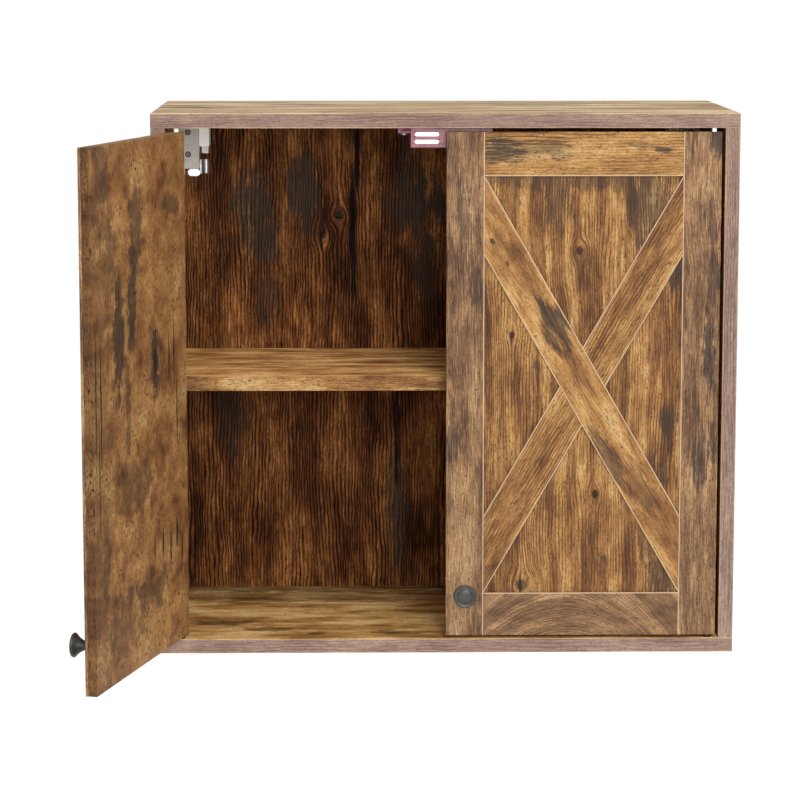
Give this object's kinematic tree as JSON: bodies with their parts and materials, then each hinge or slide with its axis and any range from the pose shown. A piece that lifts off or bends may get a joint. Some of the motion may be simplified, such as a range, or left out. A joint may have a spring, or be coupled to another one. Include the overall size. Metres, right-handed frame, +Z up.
{
  "type": "wall cabinet",
  "caption": "Wall-hung cabinet with framed, cross-braced doors on pin pivots, an adjustable shelf, a magnetic catch and adjustable wall hangers.",
  "frame": {"origin": "on the wall plane, at the centre of the four wall-screw holes in the two wall plates", "axes": "+X to the right of someone facing the doors, -Y out of the wall towards that person, +Z up"},
  "size_m": [0.6666, 0.5443, 0.56],
  "materials": {
    "carcass_board": "melamine board printed with aged golden-brown timber, satin",
    "back_board": "embossed dark brown timber print on thin fibreboard, satin",
    "door_board": "melamine board printed with aged timber, grain upright, satin",
    "door_trim": "melamine strips printed with aged timber, grain along the strip, satin",
    "dowel_wood": "plain beech, unfinished",
    "catch_plastic": "moulded purple-brown plastic",
    "bright_steel": "bright plated steel",
    "zinc_steel": "zinc-plated steel, satin",
    "grey_steel": "satin nickel-plated pressed steel",
    "black_parts": "black oxide",
    "black_plastic": "moulded black nylon",
    "white_nylon": "moulded natural nylon",
    "dark_bronze": "dark bronze powder coat, satin"
  },
  "bodies": {
    "carcass": {"top_panel": "carcass_board", "bottom_panel": "carcass_board", "side_panel_left": "carcass_board", "side_panel_right": "carcass_board", "back_panel": "back_board", "shelf": "carcass_board", "shelf_pins": "zinc_steel", "cam_locks": "zinc_steel", "cam_bolts": "zinc_steel", "dowels": "dowel_wood", "catch_housing": "catch_plastic", "catch_poles": "bright_steel", "catch_magnets": "black_parts", "catch_screws": "zinc_steel", "pivot_sockets_top": "black_plastic", "pivot_sockets_bottom": "black_plastic", "hanger_casing_left": "grey_steel", "hanger_guide_left": "white_nylon", "hanger_barrel_left": "bright_steel", "depth_screw_left": "black_parts", "hanger_casing_right": "grey_steel", "hanger_guide_right": "white_nylon", "hanger_barrel_right": "bright_steel", "depth_screw_right": "black_parts", "hanger_fixing_screws": "zinc_steel"},
    "door_left": {"door_panel_left": "door_board", "hinge_stile_left": "door_trim", "lead_stile_left": "door_trim", "top_rail_left": "door_trim", "bottom_rail_left": "door_trim", "long_brace_left": "door_trim", "upper_brace_left": "door_trim", "lower_brace_left": "door_trim", "knob_left": "dark_bronze", "knob_stud_left": "zinc_steel", "strike_plate_left": "zinc_steel", "pivot_pin_top_left": "white_nylon", "pivot_pin_bottom_left": "black_plastic"},
    "door_right": {"door_panel_right": "door_board", "hinge_stile_right": "door_trim", "lead_stile_right": "door_trim", "top_rail_right": "door_trim", "bottom_rail_right": "door_trim", "long_brace_right": "door_trim", "upper_brace_right": "door_trim", "lower_brace_right": "door_trim", "knob_right": "dark_bronze", "knob_stud_right": "zinc_steel", "strike_plate_right": "zinc_steel", "pivot_pin_top_right": "white_nylon", "pivot_pin_bottom_right": "black_plastic"},
    "hanger_hook_left": {"hanger_hook_left": "zinc_steel", "wall_plate_left": "zinc_steel"},
    "height_screw_left": {"height_screw_left": "black_parts"},
    "hanger_hook_right": {"hanger_hook_right": "zinc_steel", "wall_plate_right": "zinc_steel"},
    "height_screw_right": {"height_screw_right": "black_parts"}
  },
  "joints": [
    {"name": "left_door_swing", "type": "hinge", "parent": "carcass", "child": "door_left", "pos_m": [-0.274, -0.279, -0.225], "axis": [0, 0, 1], "range_deg": [-7, 105]},
    {"name": "right_door_swing", "type": "hinge", "parent": "carcass", "child": "door_right", "pos_m": [0.274, -0.279, -0.225], "axis": [0, 0, 1], "range_deg": [0, 112]},
    {"name": "left_height_screw_turn", "type": "hinge", "parent": "carcass", "child": "height_screw_left", "pos_m": [-0.2746, -0.056, 0.0233], "axis": [0, -1, 0], "range_deg": [-1440.5, 1440.5]},
    {"name": "left_hook_height", "type": "slide", "parent": "carcass", "child": "hanger_hook_left", "axis": [0, 0, 1], "range_m": [-0.004, 0.004]},
    {"name": "right_height_screw_turn", "type": "hinge", "parent": "carcass", "child": "height_screw_right", "pos_m": [0.2746, -0.056, 0.0233], "axis": [0, -1, 0], "range_deg": [-1440.5, 1440.5]},
    {"name": "right_hook_height", "type": "slide", "parent": "carcass", "child": "hanger_hook_right", "axis": [0, 0, 1], "range_m": [-0.004, 0.004]}
  ],
  "couplings": [
    {"joint": "left_height_screw_turn", "follows": "left_hook_height", "rad_per_m": 6283.2},
    {"joint": "right_height_screw_turn", "follows": "right_hook_height", "rad_per_m": 6283.2}
  ]
}
